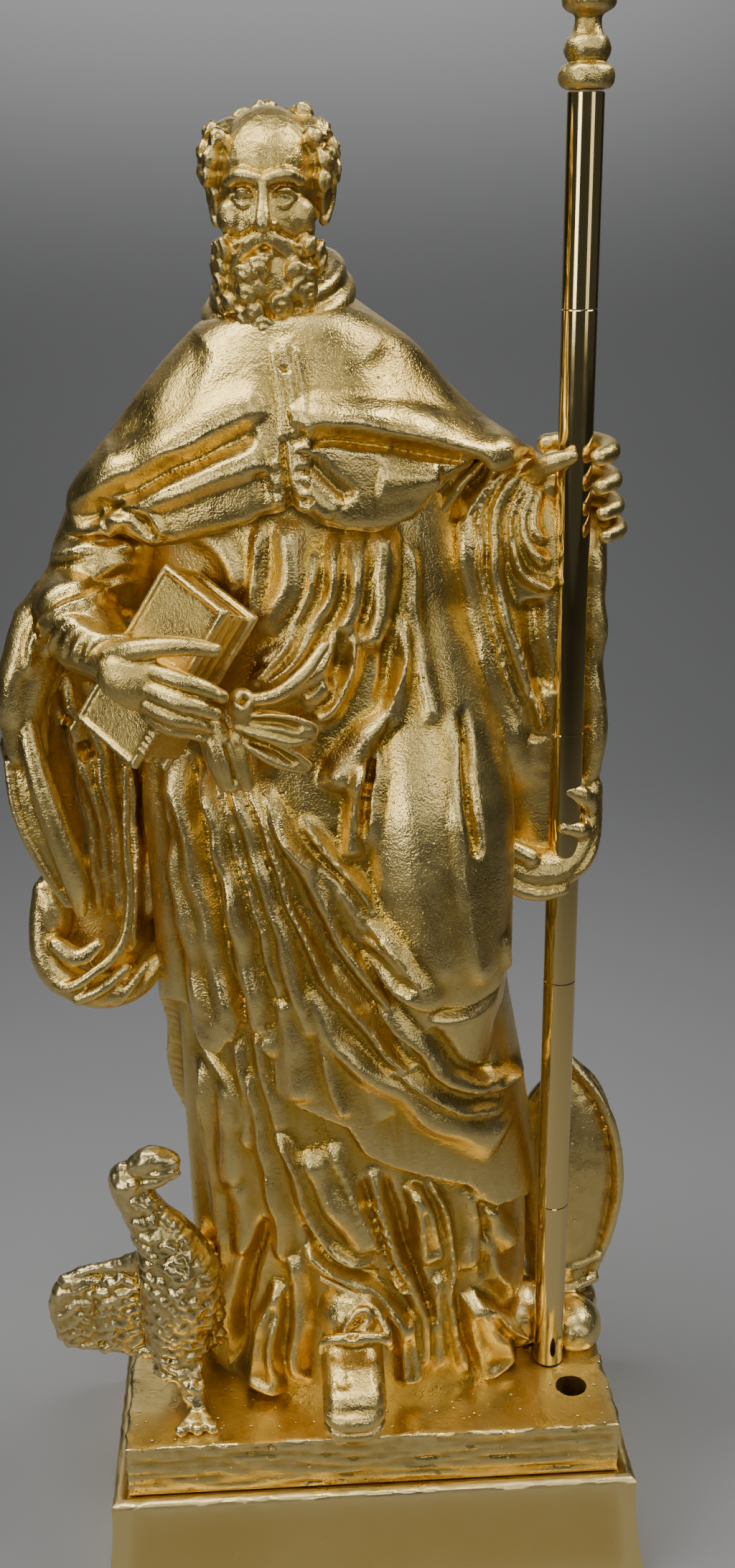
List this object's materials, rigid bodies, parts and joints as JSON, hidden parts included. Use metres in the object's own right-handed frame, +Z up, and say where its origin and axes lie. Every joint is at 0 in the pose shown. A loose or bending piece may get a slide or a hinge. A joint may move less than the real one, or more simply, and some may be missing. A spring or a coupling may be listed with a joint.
{
  "type": "gilt bronze saint statuette",
  "caption": "Standing bearded abbot saint in hooded cape and pleated habit with book, staff, bird and mitre, on a slab and hollow plinth.",
  "frame": {"origin": "middle of the whole object's footprint box, at the underside of the plinth", "axes": "+Z up, +X along the slab's front edge towards the staff, -Y to the front, the way the figure faces"},
  "size_m": [0.1382, 0.085, 0.3461],
  "materials": {
    "plinth": "satin gilding",
    "saint_figure": "bright gilding over a grained cast skin, deeper amber in the hollows",
    "staff": "mirror-polished gilding",
    "staff_finial": "bright gilding on a lumpy casting"
  },
  "bodies": {
    "root": {"plinth": "plinth", "saint_figure": "saint_figure", "staff": "staff", "staff_finial": "staff_finial"}
  },
  "joints": []
}
